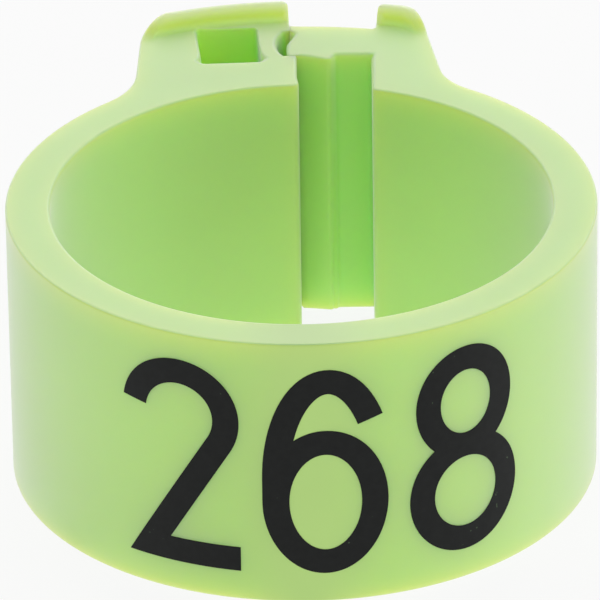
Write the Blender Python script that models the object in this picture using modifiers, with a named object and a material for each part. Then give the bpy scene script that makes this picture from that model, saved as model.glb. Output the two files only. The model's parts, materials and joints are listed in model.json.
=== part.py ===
"""Clip-on numbered leg band: a split plastic ring whose two ends meet in a catch and a tongue.

Plan-view sizes are in millimetres in the ring's own frame, with the bore's axis at (0, 0), the
clasp towards +Y and the print towards -Y. Every outline is extruded upwards from the lower face.
The scene itself is in metres, and its origin is below the centre of the object's bounding box.
"""

import math

import bmesh
import bpy

MM = 0.001

# Band
BORE_RADIUS = 4.5
BAND_RADIUS = 5.3
BAND_HEIGHT = 5.2
MID_WALL = (BORE_RADIUS + BAND_RADIUS) / 2
SEAM = 0.02
EDGE_BEVEL = 0.08
ARC_STEP = 3.0
CORNER_STEP = 10.0
SHARP_ANGLE = 40.0
WELD = 0.0005

# Hinge lines of the two flexures, in degrees about the bore, and the length of a flexure
FRONT = 270.0
FLEX_FROM_FRONT = 65.0
FLEX_HALF = 7.0
CATCH_HINGE = FRONT - FLEX_FROM_FRONT
TONGUE_HINGE = FRONT + FLEX_FROM_FRONT

# Clasp, shared by both blocks
CLASP_RADIUS = 7.36
CORNER_RADIUS = 0.7
RIDGE_WIDTH = 0.26
RIDGE_HEIGHT = 0.3
LIP_CORNER = 0.1
LIP_STEP = 20.0

# Catch block
CATCH_SIDE_POINT = (-2.95, 5.75)
CATCH_SIDE_LEAN = -3.0
CATCH_FILLET = 1.5
CATCH_END_X = -0.20
CATCH_RIDGE_END = 152.0
CATCH_LIP_START = 60.0
LEDGE_Y = 5.68
GAP_LEFT_X = 0.0
LEDGE_NOSE_X = -0.05
LEDGE_NOSE_Y = 4.91
LEDGE_CORNER = 0.05
RECESS_CENTRE = (0.476, 6.2)
RECESS_RADIUS = 0.886
RECESS_REAR = 148.0
RECESS_FRONT = 212.0
RECESS_TOP_Y = 6.70
WINDOW_CENTRE = (-1.285, 6.22)
WINDOW_WIDTH = 1.10
WINDOW_DEPTH = 1.27
WINDOW_TURN = 2.5
WEB_REAR_Y = 6.58
WEB_FRONT_Y = 5.86

# Tongue block and strap
GAP_RIGHT_X = 1.35
TONGUE_SIDE_POINT = (2.53, 5.43)
TONGUE_SIDE_LEAN = 8.7
TONGUE_FILLET = 1.2
TONGUE_RIDGE_END = 20.0
LOBE_FOOT = (1.38, 6.78)
LOBE_ANGLE = 78.7
LOBE_LIP_START = 170.0
STRAP_REAR_RADIUS = 6.88
STRAP_TIP_X = -0.23
STRAP_HOOK_X = -0.18
STRAP_CHAMFER = ((STRAP_TIP_X, 6.20), (-0.08, 6.57), (STRAP_HOOK_X, RECESS_TOP_Y))
STRAP_CHIN_WIDTH = 0.05
STRAP_CHIN_DEPTH = 0.08
TOOTH_START_X = 0.10
TOOTH_START_STEP = 0.04
TOOTH_TIP = (0.58, 5.50)
TOOTH_TIP_WIDTH = 0.08
TOOTH_BACK_X = 0.68
TOOTH_BACK_DROP = 0.03

# Print
INK_GAP = 0.01
INK_THICKNESS = 0.04
CUTTER_DEPTH = 1.0
STROKE = 0.48
STROKE_STEP = 12.0
DIGIT_HEIGHT = 4.1
DIGIT_WIDTH = 2.25
DIGIT_BASE = 0.58
PRINT_CENTRE = 3.9
DIGIT_PITCH = 28.7
TWO_START, TWO_END = 172.0, -38.0
TWO_FOOT_SHARE = 0.70
SIX_LOOP_HEIGHT = 1.2
SIX_TAIL_CENTRE = (0.05, 1.9)
SIX_TAIL_START, SIX_TAIL_END = 188.0, 36.0
EIGHT_WAIST = 2.12
EIGHT_OVERLAP = 0.03
EIGHT_UPPER_SHARE = 0.86

# The bore's axis is forward of the middle of the bounding box, because the clasp stands out
INK_RADIUS = BAND_RADIUS + INK_GAP + INK_THICKNESS
RING_AXIS_Y = (INK_RADIUS - CLASP_RADIUS) / 2

GREEN = (0.45, 0.66, 0.22)
INK = (0.018, 0.019, 0.019)
GREEN_ROUGHNESS = 0.42
INK_ROUGHNESS = 0.5


# ---------------------------------------------------------------- plan geometry


def polar(radius, degrees, centre=(0.0, 0.0)):
    turn = math.radians(degrees)
    return (centre[0] + radius * math.cos(turn), centre[1] + radius * math.sin(turn))


def angle_of(point, centre=(0.0, 0.0)):
    return math.degrees(math.atan2(point[1] - centre[1], point[0] - centre[0]))


def arc(radius, start, end, centre=(0.0, 0.0), step=ARC_STEP):
    """Points along an arc, both ends included."""
    count = max(2, math.ceil(abs(end - start) / step))
    turns = (start + (end - start) * i / count for i in range(count + 1))
    return [polar(radius, turn, centre) for turn in turns]


def on_circle(radius, x):
    """The point of the upper half of a circle about the bore at this x."""
    return (x, math.sqrt(radius**2 - x**2))


def side_circle(radius, reach, point, lean):
    """Centre of a circle of this radius on a block's side.

    The side passes through point, turned from +Y by lean degrees. The circle is tangent to it,
    on its +X side when radius is positive, and its centre is reach from the bore's axis.
    """
    normal = (math.cos(math.radians(lean)), math.sin(math.radians(lean)))
    along = (-normal[1], normal[0])
    away = normal[0] * point[0] + normal[1] * point[1] + radius
    up = math.sqrt(reach**2 - away**2)
    return (away * normal[0] + up * along[0], away * normal[1] + up * along[1])


def band_section(start, end):
    """Outline of a stretch of the band, with half a seam left free at each end."""
    half_seam = math.degrees(SEAM / 2 / MID_WALL)
    start, end = start + half_seam, end - half_seam
    return arc(BAND_RADIUS, start, end) + arc(BORE_RADIUS, end, start)


# The fillets that run each block's side into the band, and the corners at its rear
CATCH_FILLET_CENTRE = side_circle(
    -CATCH_FILLET, BAND_RADIUS + CATCH_FILLET, CATCH_SIDE_POINT, CATCH_SIDE_LEAN
)
CATCH_CORNER_CENTRE = side_circle(
    CORNER_RADIUS, CLASP_RADIUS - CORNER_RADIUS, CATCH_SIDE_POINT, CATCH_SIDE_LEAN
)
TONGUE_FILLET_CENTRE = side_circle(
    TONGUE_FILLET, BAND_RADIUS + TONGUE_FILLET, TONGUE_SIDE_POINT, TONGUE_SIDE_LEAN
)
TONGUE_CORNER_CENTRE = side_circle(
    -CORNER_RADIUS, CLASP_RADIUS - CORNER_RADIUS, TONGUE_SIDE_POINT, TONGUE_SIDE_LEAN
)
LOBE_STOP = LOBE_ANGLE - math.degrees(LIP_CORNER / CLASP_RADIUS)
CATCH_BLOCK_START = angle_of(CATCH_FILLET_CENTRE)
TONGUE_BLOCK_START = angle_of(TONGUE_FILLET_CENTRE)


def window_point(across, back):
    """A point of the window's frame: across to the right and back from its centre."""
    turn = math.radians(WINDOW_TURN)
    x = across * math.cos(turn) - back * math.sin(turn)
    y = across * math.sin(turn) + back * math.cos(turn)
    return (WINDOW_CENTRE[0] + x, WINDOW_CENTRE[1] + y)


def window_side(y):
    """The point of the window's right side at this y."""
    low = window_point(WINDOW_WIDTH / 2, -WINDOW_DEPTH / 2)
    high = window_point(WINDOW_WIDTH / 2, WINDOW_DEPTH / 2)
    share = (y - low[1]) / (high[1] - low[1])
    return (low[0] + share * (high[0] - low[0]), y)


def recess_angle(y):
    """Where the recess's arc reaches this y, in degrees about the recess's centre."""
    return 180.0 - math.degrees(math.asin((y - RECESS_CENTRE[1]) / RECESS_RADIUS))


def catch_block():
    """The block, open from the recess into the window where the web stands."""
    half_w, half_d = WINDOW_WIDTH / 2, WINDOW_DEPTH / 2
    start = CATCH_BLOCK_START - math.degrees(SEAM / MID_WALL)
    corner_turn = angle_of(CATCH_CORNER_CENTRE)
    end_corner = on_circle(CLASP_RADIUS - LIP_CORNER, CATCH_END_X - LIP_CORNER)
    fillet_start = angle_of((0.0, 0.0), CATCH_FILLET_CENTRE)
    outline = arc(BORE_RADIUS, 90.0, start)
    side_turn = 180.0 + CATCH_SIDE_LEAN
    outline += arc(CATCH_FILLET, fillet_start, CATCH_SIDE_LEAN, CATCH_FILLET_CENTRE, CORNER_STEP)
    outline += arc(CORNER_RADIUS, side_turn, corner_turn, CATCH_CORNER_CENTRE, CORNER_STEP)
    outline += arc(CLASP_RADIUS, corner_turn, angle_of(end_corner))[1:]
    outline += arc(LIP_CORNER, CATCH_LIP_START, 0.0, end_corner, LIP_STEP)
    outline += [(CATCH_END_X, RECESS_TOP_Y)]
    outline += arc(
        RECESS_RADIUS, RECESS_REAR, recess_angle(WEB_REAR_Y), RECESS_CENTRE, CORNER_STEP
    )
    outline += [
        window_side(WEB_REAR_Y),
        window_point(half_w, half_d),
        window_point(-half_w, half_d),
        window_point(-half_w, -half_d),
        window_point(half_w, -half_d),
        window_side(WEB_FRONT_Y),
    ]
    outline += arc(
        RECESS_RADIUS, recess_angle(WEB_FRONT_Y), RECESS_FRONT, RECESS_CENTRE, CORNER_STEP
    )
    outline += [
        (LEDGE_NOSE_X - LEDGE_CORNER, LEDGE_Y),
        (LEDGE_NOSE_X, LEDGE_Y - LEDGE_CORNER),
        (GAP_LEFT_X, LEDGE_NOSE_Y),
    ]
    return outline


def catch_web():
    """The thin wall between the recess and the window."""
    rear, front = WEB_REAR_Y - SEAM, WEB_FRONT_Y + SEAM
    outer = arc(
        RECESS_RADIUS, recess_angle(rear), recess_angle(front), RECESS_CENTRE, CORNER_STEP
    )
    return outer + [window_side(front), window_side(rear)]


def catch_ridge():
    """A strip along the catch block's rear edge and round its left corner."""
    turn = angle_of(CATCH_CORNER_CENTRE)
    outer_end = angle_of(on_circle(CLASP_RADIUS, CATCH_END_X - LIP_CORNER / 2))
    inner = CLASP_RADIUS - RIDGE_WIDTH
    inner_corner = CORNER_RADIUS - RIDGE_WIDTH
    outline = arc(CORNER_RADIUS, CATCH_RIDGE_END, turn, CATCH_CORNER_CENTRE, CORNER_STEP)
    outline += arc(CLASP_RADIUS, turn, outer_end)[1:]
    outline += arc(inner, outer_end, turn)
    return outline + arc(inner_corner, turn, CATCH_RIDGE_END, CATCH_CORNER_CENTRE, CORNER_STEP)[1:]


def tongue_block():
    turn = angle_of(TONGUE_CORNER_CENTRE)
    lobe_corner = polar(CLASP_RADIUS - LIP_CORNER, LOBE_ANGLE)
    start = TONGUE_BLOCK_START + math.degrees(SEAM / MID_WALL)
    fillet_end = angle_of((0.0, 0.0), TONGUE_FILLET_CENTRE)
    outline = [
        on_circle(BORE_RADIUS, GAP_RIGHT_X),
        on_circle(STRAP_REAR_RADIUS, GAP_RIGHT_X),
        LOBE_FOOT,
    ]
    outline += arc(LIP_CORNER, LOBE_LIP_START, 90.0, lobe_corner, LIP_STEP)
    outline += arc(CLASP_RADIUS, LOBE_STOP, turn)
    outline += arc(CORNER_RADIUS, turn, TONGUE_SIDE_LEAN, TONGUE_CORNER_CENTRE, CORNER_STEP)[1:]
    outline += arc(
        TONGUE_FILLET,
        180.0 + TONGUE_SIDE_LEAN,
        360.0 + fillet_end,
        TONGUE_FILLET_CENTRE,
        CORNER_STEP,
    )
    bore_end = angle_of(on_circle(BORE_RADIUS, GAP_RIGHT_X))
    return outline + arc(BORE_RADIUS, start, bore_end)[:-1]


def tongue_ridge():
    """A strip along the tongue block's rear edge and round its right corner."""
    turn = angle_of(TONGUE_CORNER_CENTRE)
    inner = CLASP_RADIUS - RIDGE_WIDTH
    inner_corner = CORNER_RADIUS - RIDGE_WIDTH
    outline = arc(CLASP_RADIUS, LOBE_STOP, turn)
    outline += arc(CORNER_RADIUS, turn, TONGUE_RIDGE_END, TONGUE_CORNER_CENTRE, CORNER_STEP)[1:]
    outline += arc(inner_corner, TONGUE_RIDGE_END, turn, TONGUE_CORNER_CENTRE, CORNER_STEP)
    return outline + arc(inner, turn, LOBE_STOP)[1:]


def tongue_strap():
    root_x = GAP_RIGHT_X - SEAM
    rear_start = angle_of(on_circle(STRAP_REAR_RADIUS, root_x))
    rear_end = angle_of(on_circle(STRAP_REAR_RADIUS, STRAP_HOOK_X))
    face = LEDGE_Y + SEAM
    outline = arc(STRAP_REAR_RADIUS, rear_start, rear_end)
    outline += reversed(STRAP_CHAMFER)
    chin = [(STRAP_TIP_X, face + STRAP_CHIN_DEPTH), (STRAP_TIP_X + STRAP_CHIN_WIDTH, face)]
    return outline + chin + [(root_x, face)]


def latch_tooth():
    face = LEDGE_Y
    return [
        (TOOTH_START_X, face),
        (TOOTH_START_X, face - TOOTH_START_STEP),
        TOOTH_TIP,
        (TOOTH_TIP[0] + TOOTH_TIP_WIDTH, TOOTH_TIP[1] + TOOTH_BACK_DROP),
        (TOOTH_BACK_X, face - 2 * TOOTH_START_STEP),
        (TOOTH_BACK_X, face),
    ]


# ---------------------------------------------------------------- digits


def stroke_outline(path, closed=False):
    """Outlines of a line of constant width drawn along path: one if open, two if closed."""
    sides = ([], [])
    last = len(path) - 1
    for i, point in enumerate(path):
        before = path[i - 1] if closed or i else point
        after = path[(i + 1) % len(path)] if closed or i < last else point
        into = unit(before, point) or unit(point, after)
        out = unit(point, after) or into
        normal = unit((0.0, 0.0), (-into[1] - out[1], into[0] + out[0]))
        reach = STROKE / 2 / (normal[0] * -into[1] + normal[1] * into[0])
        for side, sign in zip(sides, (1, -1)):
            side.append((point[0] + sign * reach * normal[0], point[1] + sign * reach * normal[1]))
    if closed:
        return [sides[0], sides[1]]
    return [sides[0] + sides[1][::-1]]


def unit(start, end):
    length = math.dist(start, end)
    return ((end[0] - start[0]) / length, (end[1] - start[1]) / length) if length else None


def ellipse(centre, half_width, half_height, start, end, step=STROKE_STEP, ends=True):
    count = max(2, math.ceil(abs(end - start) / step))
    turns = [math.radians(start + (end - start) * i / count) for i in range(count + ends)]
    return [
        (centre[0] + half_width * math.cos(t), centre[1] + half_height * math.sin(t))
        for t in turns
    ]


HALF_W = (DIGIT_WIDTH - STROKE) / 2
TOP = DIGIT_HEIGHT - STROKE / 2
BOTTOM = STROKE / 2


def digit_two():
    bowl = (0.0, TOP - HALF_W)
    path = ellipse(bowl, HALF_W, HALF_W, TWO_START, TWO_END)
    path += [(-TWO_FOOT_SHARE * HALF_W, BOTTOM), (HALF_W + STROKE / 2, BOTTOM)]
    return [stroke_outline(path)]


def digit_six():
    loop_centre = (0.0, BOTTOM + SIX_LOOP_HEIGHT)
    loop = ellipse(loop_centre, HALF_W, SIX_LOOP_HEIGHT, 0.0, 360.0, ends=False)
    tail_width = HALF_W + SIX_TAIL_CENTRE[0]
    tail_height = TOP - SIX_TAIL_CENTRE[1]
    tail = ellipse(SIX_TAIL_CENTRE, tail_width, tail_height, SIX_TAIL_START, SIX_TAIL_END)
    return [stroke_outline(loop, closed=True), stroke_outline(tail)]


def digit_eight():
    low = (EIGHT_WAIST - BOTTOM) / 2
    high = (TOP - EIGHT_WAIST) / 2 + EIGHT_OVERLAP
    upper_width = EIGHT_UPPER_SHARE * HALF_W
    lower = ellipse((0.0, BOTTOM + low), HALF_W, low, 0.0, 360.0, ends=False)
    upper = ellipse((0.0, TOP - high), upper_width, high, 0.0, 360.0, ends=False)
    return [stroke_outline(lower, closed=True), stroke_outline(upper, closed=True)]


# ---------------------------------------------------------------- objects


def fresh_collection(name):
    collection = bpy.data.collections.new(name)
    bpy.context.scene.collection.children.link(collection)
    return collection


def flat_curve(name, outlines, thickness, collection):
    """A flat outline of one or more closed splines, extruded by half its thickness each way."""
    curve = bpy.data.curves.new(name, "CURVE")
    curve.dimensions = "2D"
    curve.fill_mode = "BOTH"
    curve.extrude = thickness / 2 * MM
    for outline in outlines:
        spline = curve.splines.new("POLY")
        spline.points.add(len(outline) - 1)
        for place, (x, y) in zip(spline.points, outline):
            place.co = (x * MM, y * MM, 0.0, 1.0)
        spline.use_cyclic_u = True
    piece = bpy.data.objects.new(name, curve)
    collection.objects.link(piece)
    return piece


def as_mesh(piece):
    """The same piece as a closed mesh, in place of its curve."""
    graph = bpy.context.evaluated_depsgraph_get()
    graph.update()
    mesh = bpy.data.meshes.new_from_object(piece.evaluated_get(graph))
    shape = bmesh.new()
    shape.from_mesh(mesh)
    bmesh.ops.remove_doubles(shape, verts=shape.verts, dist=WELD * MM)
    bmesh.ops.recalc_face_normals(shape, faces=shape.faces)
    shape.to_mesh(mesh)
    shape.free()
    mesh.shade_smooth()
    mesh.set_sharp_from_angle(angle=math.radians(SHARP_ANGLE))
    solid = bpy.data.objects.new(piece.name + "_mesh", mesh)
    for collection in piece.users_collection:
        collection.objects.link(solid)
    solid.matrix_world = piece.matrix_world
    name = piece.name
    bpy.data.objects.remove(piece)
    solid.name = name
    return solid


def plastic(name, colour, roughness):
    material = bpy.data.materials.new(name)
    material.use_nodes = True
    shader = material.node_tree.nodes["Principled BSDF"]
    shader.inputs["Base Color"].default_value = (*colour, 1.0)
    shader.inputs["Roughness"].default_value = roughness
    shader.inputs["Metallic"].default_value = 0.0
    material.diffuse_color = (*colour, 1.0)
    return material


def pivot(name, degrees):
    """An empty on a hinge line, which is in the middle of the band's wall."""
    empty = bpy.data.objects.new(name, None)
    empty.empty_display_size = MM
    x, y = polar(MID_WALL, degrees)
    empty.location = (x * MM, (y + RING_AXIS_Y) * MM, 0.0)
    parts.objects.link(empty)
    return empty


def ride_on(piece, parent, base):
    """Places a piece drawn in the ring's frame, with its lower face at base."""
    piece.parent = parent
    offset_y = RING_AXIS_Y * MM - parent.location.y
    piece.location = (-parent.location.x, offset_y, base * MM)


def moulded(name, outline, parent, base=0.0, height=BAND_HEIGHT):
    """One section of the moulding: its outline, extruded, with softened edges."""
    piece = flat_curve(name, [outline], height, parts)
    weld = piece.modifiers.new("join_caps", "WELD")
    weld.merge_threshold = WELD * MM
    bevel = piece.modifiers.new("soft_edges", "BEVEL")
    bevel.width = EDGE_BEVEL * MM
    bevel.segments = 2
    bevel.limit_method = "ANGLE"
    bevel.angle_limit = math.radians(SHARP_ANGLE)
    bevel.use_clamp_overlap = True
    piece.data.materials.append(plastic(name, GREEN, GREEN_ROUGHNESS))
    ride_on(piece, parent, base + height / 2)
    return piece


def ink_shell():
    """The thin tube of space that the print fills, just clear of the band's wall."""
    inner = BAND_RADIUS + INK_GAP
    rings = [
        arc(inner + INK_THICKNESS, 0.0, 360.0)[:-1],
        arc(inner, 0.0, 360.0)[:-1],
    ]
    shell = as_mesh(flat_curve("ink_shell", rings, BAND_HEIGHT, helpers))
    shell.hide_render = True
    shell.display_type = "WIRE"
    shell.location = (0.0, RING_AXIS_Y * MM, BAND_HEIGHT / 2 * MM)
    return shell


def printed(name, strokes, degrees, parent):
    """A digit: its strokes cut through the ink shell and joined."""
    x, y = polar(BAND_RADIUS, FRONT + degrees)
    place = (x * MM, (y + RING_AXIS_Y) * MM, DIGIT_BASE * MM)
    tilt = (math.radians(90.0), 0.0, math.radians(degrees))
    solids = []
    for i, outlines in enumerate(strokes):
        collection = parts if i == 0 else helpers
        own_name = name if i == 0 else f"{name}_stroke"
        stroke = as_mesh(flat_curve(own_name, outlines, CUTTER_DEPTH, collection))
        stroke.location, stroke.rotation_euler = place, tilt
        solids.append(stroke)
    digit = solids[0]
    for other in solids[1:]:
        other.hide_render = True
        other.display_type = "WIRE"
        join = digit.modifiers.new("join_stroke", "BOOLEAN")
        join.operation = "UNION"
        join.object = other
    wrap = digit.modifiers.new("wrap_on_wall", "BOOLEAN")
    wrap.operation = "INTERSECT"
    wrap.object = shell
    digit.data.materials.append(plastic(name, INK, INK_ROUGHNESS))
    digit.parent = parent
    digit.matrix_parent_inverse = parent.matrix_world.inverted()
    return digit


for old in list(bpy.data.objects):
    bpy.data.objects.remove(old)

parts = fresh_collection("leg_band")
helpers = fresh_collection("cutters")
helpers.hide_render = True

front_frame = bpy.data.objects.new("ring_axis", None)
front_frame.empty_display_size = MM
front_frame.location = (0.0, RING_AXIS_Y * MM, 0.0)
parts.objects.link(front_frame)
catch_pivot = pivot("catch_arm_pivot", CATCH_HINGE)
tongue_pivot = pivot("tongue_arm_pivot", TONGUE_HINGE)
bpy.context.view_layer.update()

# The part that stays put: the printed front and the two short flexures
moulded("front_band", band_section(CATCH_HINGE + FLEX_HALF, TONGUE_HINGE - FLEX_HALF), front_frame)
moulded(
    "catch_side_flexure",
    band_section(CATCH_HINGE - FLEX_HALF, CATCH_HINGE + FLEX_HALF),
    front_frame,
)
moulded(
    "tongue_side_flexure",
    band_section(TONGUE_HINGE - FLEX_HALF, TONGUE_HINGE + FLEX_HALF),
    front_frame,
)

# The catch arm
moulded("catch_arm", band_section(CATCH_BLOCK_START, CATCH_HINGE - FLEX_HALF), catch_pivot)
moulded("catch_block", catch_block(), catch_pivot)
moulded("catch_web", catch_web(), catch_pivot)
moulded("catch_grip_ridge", catch_ridge(), catch_pivot, BAND_HEIGHT + SEAM, RIDGE_HEIGHT - SEAM)

# The tongue arm
moulded(
    "tongue_arm",
    band_section(TONGUE_HINGE + FLEX_HALF, 360.0 + TONGUE_BLOCK_START),
    tongue_pivot,
)
moulded("tongue_block", tongue_block(), tongue_pivot)
moulded("tongue_grip_ridge", tongue_ridge(), tongue_pivot, BAND_HEIGHT + SEAM, RIDGE_HEIGHT - SEAM)
moulded("tongue_strap", tongue_strap(), tongue_pivot)
moulded("latch_tooth", latch_tooth(), tongue_pivot)

# The print
shell = ink_shell()
printed("number_first_digit", digit_two(), PRINT_CENTRE - DIGIT_PITCH, front_frame)
printed("number_middle_digit", digit_six(), PRINT_CENTRE, front_frame)
printed("number_last_digit", digit_eight(), PRINT_CENTRE + DIGIT_PITCH, front_frame)
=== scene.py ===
"""Looks of the clip-on leg band: fine mouldings, print, plastic, ink, floor, light and camera.

Plan-view sizes are in millimetres in the ring's own frame, with the bore's axis at (0, 0), the
clasp towards +Y and the print towards -Y, and plan-view angles are in degrees from +X. Each half
of the moulding is one mesh.
"""

import json
import math
from collections import namedtuple

import bpy
import numpy as np
from mathutils import Matrix, Vector
from mathutils.geometry import delaunay_2d_cdt


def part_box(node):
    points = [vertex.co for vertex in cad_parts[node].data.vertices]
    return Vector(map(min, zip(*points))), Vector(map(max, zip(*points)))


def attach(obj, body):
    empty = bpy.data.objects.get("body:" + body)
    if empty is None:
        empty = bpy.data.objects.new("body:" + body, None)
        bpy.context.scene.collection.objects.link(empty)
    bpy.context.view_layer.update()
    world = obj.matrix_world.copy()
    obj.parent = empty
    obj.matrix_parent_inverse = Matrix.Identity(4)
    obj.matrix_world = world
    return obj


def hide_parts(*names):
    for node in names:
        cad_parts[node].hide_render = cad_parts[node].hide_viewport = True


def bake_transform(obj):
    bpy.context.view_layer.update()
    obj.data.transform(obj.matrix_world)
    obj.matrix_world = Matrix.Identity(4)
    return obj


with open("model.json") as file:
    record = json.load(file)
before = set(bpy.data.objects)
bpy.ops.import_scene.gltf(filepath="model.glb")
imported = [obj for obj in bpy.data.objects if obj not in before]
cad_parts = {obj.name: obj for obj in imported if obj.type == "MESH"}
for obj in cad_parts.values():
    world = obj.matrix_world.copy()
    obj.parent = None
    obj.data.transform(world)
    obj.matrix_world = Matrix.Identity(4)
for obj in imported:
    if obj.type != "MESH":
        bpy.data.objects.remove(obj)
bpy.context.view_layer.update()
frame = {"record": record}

MM = 0.001

# ---------------------------------------------------------------- places read from the frame

mounts = {mount["name"]: mount for mount in frame["record"]["mounts"]}
BORE = mounts["leg_bore"]
AXIS = Vector((BORE["pos_m"][0], BORE["pos_m"][1], 0.0))


def span(node):
    """A node's lowest and highest corners, in millimetres in the ring's frame."""
    low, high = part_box(node)
    return (low - AXIS) / MM, (high - AXIS) / MM


front_low, front_high = span("front_band")
_, catch_high = span("catch_block")
_, ridge_high = span("catch_grip_ridge")
tongue_low, _ = span("tongue_block")
strap_low, strap_high = span("tongue_strap")
tooth_low, tooth_high = span("latch_tooth")

BORE_RADIUS = BORE["dims"]["r_mm"]
BAND_RADIUS = -front_low.y
HEIGHT = front_high.z
CLASP_RADIUS = catch_high.y
RIDGE_HEIGHT = ridge_high.z - HEIGHT
GAP_LEFT_X = catch_high.x
GAP_RIGHT_X = tongue_low.x
STRAP_FACE_Y = strap_low.y
STRAP_TIP_X = strap_low.x
STRAP_REAR_RADIUS = strap_high.y

# ---------------------------------------------------------------- shapes within the pieces

# The largest step along an outline, and the gap between the halves where they touch
SPACING = 0.10
HAIRLINE = 0.0005

# Steps in a rounded edge, the flat border next to it, and the levels up a wall between its edges
ROUND_STEPS = 5
SUPPORT = 0.02
ROW_ROOM = 0.6 * SUPPORT
WALL_LEVELS = (0.0, 0.008, 0.05, 0.2, 0.35, 0.5, 0.65, 0.8, 0.9, 0.95, 0.992, 1.0)

# For the triangulation: its output is a full set of triangles, and nearer points are merged
ALL_TRIANGLES = 0
SAME_PLACE = 1e-6

# An arc stops this many radii short of a corner that is rounded in plan, and the rounding's
# points are at most this angle apart. A mitre's length is one over its angle's cosine, and
# cosines below the last value count as that value.
CORNER_ROOM = 1.6
CORNER_STEP = math.radians(15.0)
SHARPEST_MITRE = 0.5

# Plan-view directions, and how near x 0 in metres a point is on the plane between the halves
FRONT = 270.0
REAR = 90.0
LEFT = 180.0
RIGHT = 0.0
WHOLE_TURN = 360.0
ON_SEAM = 1e-8

# Catch block: a point on its left side and that side's lean, the radii of the fillet between it
# and the ring and of the clasp's outer corners, and its end at the strap and at the rear edge
CATCH_SIDE_POINT = (-2.95, 5.75)
CATCH_SIDE_LEAN = -3.0
CATCH_FILLET = 1.5
CORNER_RADIUS = 0.7
CATCH_END_X = -0.165
CATCH_END_TOP_X = -0.21

# Radius in plan of the upright edges at the opening, on both sides
GAP_EDGE_TURN = 0.13

# The catch's nose, the small cut between it and the face on which the strap lies, and how far
# from a corner the touching faces start
NOSE = (-0.05, 4.91)
NOSE_CUT = (0.02, 0.05)
CONTACT_START = 0.1

# The recess that the strap's tip is in: an arc, its two ends, and where its rear wall stops
RECESS_CENTRE = (0.476, 6.2)
RECESS_RADIUS = 0.886
RECESS_REAR = 148.0
RECESS_FRONT = 212.0
RECESS_STOP_Y = 6.70

# The window, about its own centre: for its rear and its front side, left x, right x and y
WINDOW_CENTRE = (-1.285, 6.20)
WINDOW_REAR = (-0.585, 0.530, 0.615)
WINDOW_FRONT = (-0.535, 0.565, -0.635)
WINDOW_TURN = 2.5
WINDOW_CORNER = 0.09

# Tongue block: its right side in the same way, and its lobe's end: the foot at the strap and the
# angle of the top corner
TONGUE_SIDE_POINT = (2.53, 5.43)
TONGUE_SIDE_LEAN = 8.7
TONGUE_FILLET = 1.2
LOBE_FOOT = (1.40, 6.78)
LOBE_ANGLE = 78.3

# Strap: the chamfer behind its tip, the small cut in front of it, and how far its rear arc stays
# from the block and from the catch's end. The tooth stands on its inner face.
STRAP_CHAMFER = ((-0.10, 6.58), (STRAP_TIP_X, 6.20))
STRAP_CHAMFER_TURN = 0.13
STRAP_TIP_CUT = (0.05, 0.08)
STRAP_REAR_INSET = (0.02, 0.12)
TOOTH_START_X = 0.02
TOOTH_TIP = (tooth_high.x - 0.13, tooth_low.y + 0.02)
TOOTH_TIP_TURN = 0.10
TOOTH_FOOT_TURN = 0.09

# Grip ridge, across from the clasp's rear edge: where its rounded top starts, the radii of its
# top and its foot, and its steepest slope
RIDGE_START = 0.07
RIDGE_ROUND = 0.15
RIDGE_FILLET = 0.15
RIDGE_SLOPE = math.radians(76.0)
RIDGE_STEPS = 10

# Where the ridges fade out round the blocks' corners: first angle and sweep, in degrees
CATCH_FADE = (104.0, 72.0)
TONGUE_FADE = (2.0, 52.0)

# The tongue's ridge covers what is right of this, and its rows run this far past the lobe
TONGUE_RIDGE_X = GAP_RIGHT_X - 0.1
ROW_OVERRUN = 1.0

# Print: how thick the ink is over and under the wall's surface, the strokes' width, the digits'
# size and height above the lower face, and the angles of the middle one and between neighbours
INK_PROUD = 0.006
INK_SUNK = 0.004
STROKE = 0.48
DIGIT_HEIGHT = 4.1
DIGIT_WIDTH = 2.25
DIGIT_BASE = 0.58
PRINT_CENTRE = 3.9
DIGIT_PITCH = 28.7

# Spacing of the points inside a digit, their distance from its outline, the largest steps along
# its straight strokes and round its curves, and the angle that counts as a sharp edge
PRINT_SPACING = 1.5 * SPACING
PRINT_ROOM = 0.4 * SPACING
PRINT_STEP = 2.0 * SPACING
TURN_STEP = 4.0
INK_CREASE = math.radians(40.0)

# Middle lines of the digits' strokes, in each digit's own flat frame: half their width, their
# highest and lowest y, and what shapes each digit
HALF_WIDTH = (DIGIT_WIDTH - STROKE) / 2
TOP = DIGIT_HEIGHT - STROKE / 2
BOTTOM = STROKE / 2
TWO_BOWL = (172.0, -31.3)
TWO_FOOT_X = -0.70 * HALF_WIDTH
SIX_LOOP = 1.2
SIX_TAIL_CENTRE = (0.05, 1.9)
SIX_TAIL_END = 36.0
EIGHT_WAIST = 2.12
EIGHT_TOP_SHARE = 0.86

# Translucency fades out towards the plane where the two halves meet
SEAM_FADE = 1.6

# Painted light on the walls and the upper face. Walls are painted lime down to this depth below
# their upper edges, as painted light glowing through those edges. Upper edges and the ridges' tops
# are painted paler as a painted highlight, and the ridges' feet are painted paler as painted light
# over their shade: heights are above the upper face.
PAINTED_GLOW_DEPTH = 0.5
RIM_PAINTED_HIGHLIGHT = 0.4
FOOT_PAINTED_LIGHT = 0.5
FOOT_PAINTED_LIGHT_RISE = 0.02
FOOT_PAINTED_LIGHT_HEIGHT = 0.09
TOP_PAINTED_HIGHLIGHT_START = 0.12

# How many of a wall's last rings are coloured like the upper face, without the painted lime or
# painted bounce light, and how many of those are flat; the others among them get the rim's painted
# highlight
RIM_RINGS = ROUND_STEPS - 1
FLAT_RINGS = 2

# How a stretch of wall is finished: the radii of its upper and lower edges, its draft, how far its
# lower end leans towards the bore, and how much painted bounce light it gets, a brighter green
# standing in for light bouncing inside the recesses
Style = namedtuple("Style", "edge foot draft lean pocket", defaults=(0.0, 0.0, 0.0))

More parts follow.
